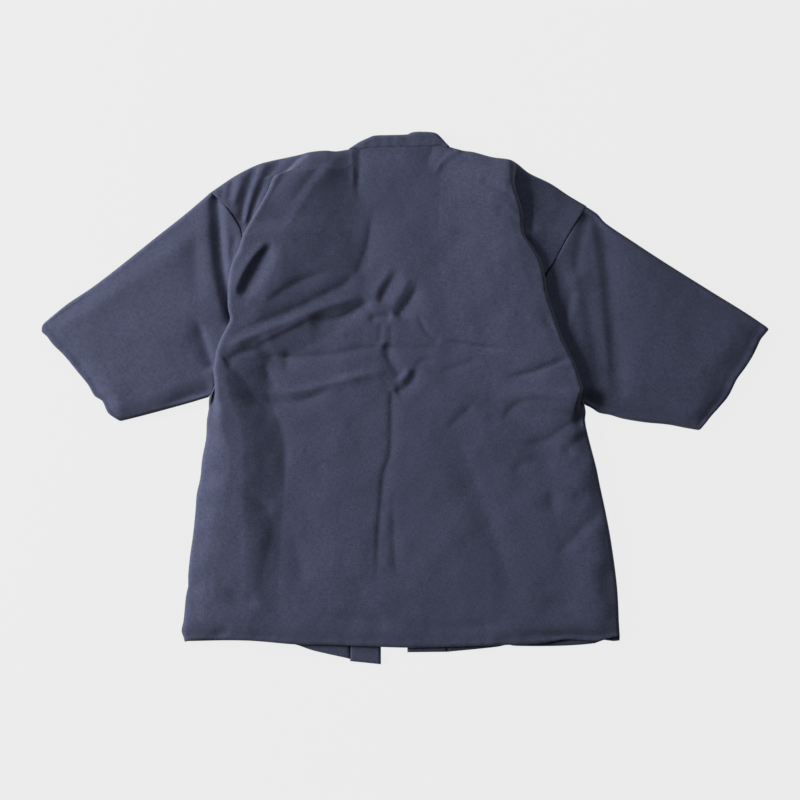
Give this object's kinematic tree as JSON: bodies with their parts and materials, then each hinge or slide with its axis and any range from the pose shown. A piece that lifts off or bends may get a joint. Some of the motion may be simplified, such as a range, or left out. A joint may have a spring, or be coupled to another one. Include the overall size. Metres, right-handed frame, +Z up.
{
  "type": "hanten",
  "caption": "Padded short kimono jacket lying flat with its back up, wide sleeves spread, collar band rolled over at the neck.",
  "frame": {"origin": "middle of the footprint, on the surface that the garment lies on", "axes": "+X towards the wearer's right sleeve, +Y from hem to collar, +Z up from the surface"},
  "size_m": [1.087, 0.798, 0.0267],
  "materials": {
    "cloth": "matt slubbed plain weave, slate navy, padded"
  },
  "bodies": {
    "root": {"back": "cloth", "front_left": "cloth", "front_right": "cloth", "sleeve_left": "cloth", "sleeve_right": "cloth", "collar": "cloth"}
  },
  "joints": []
}
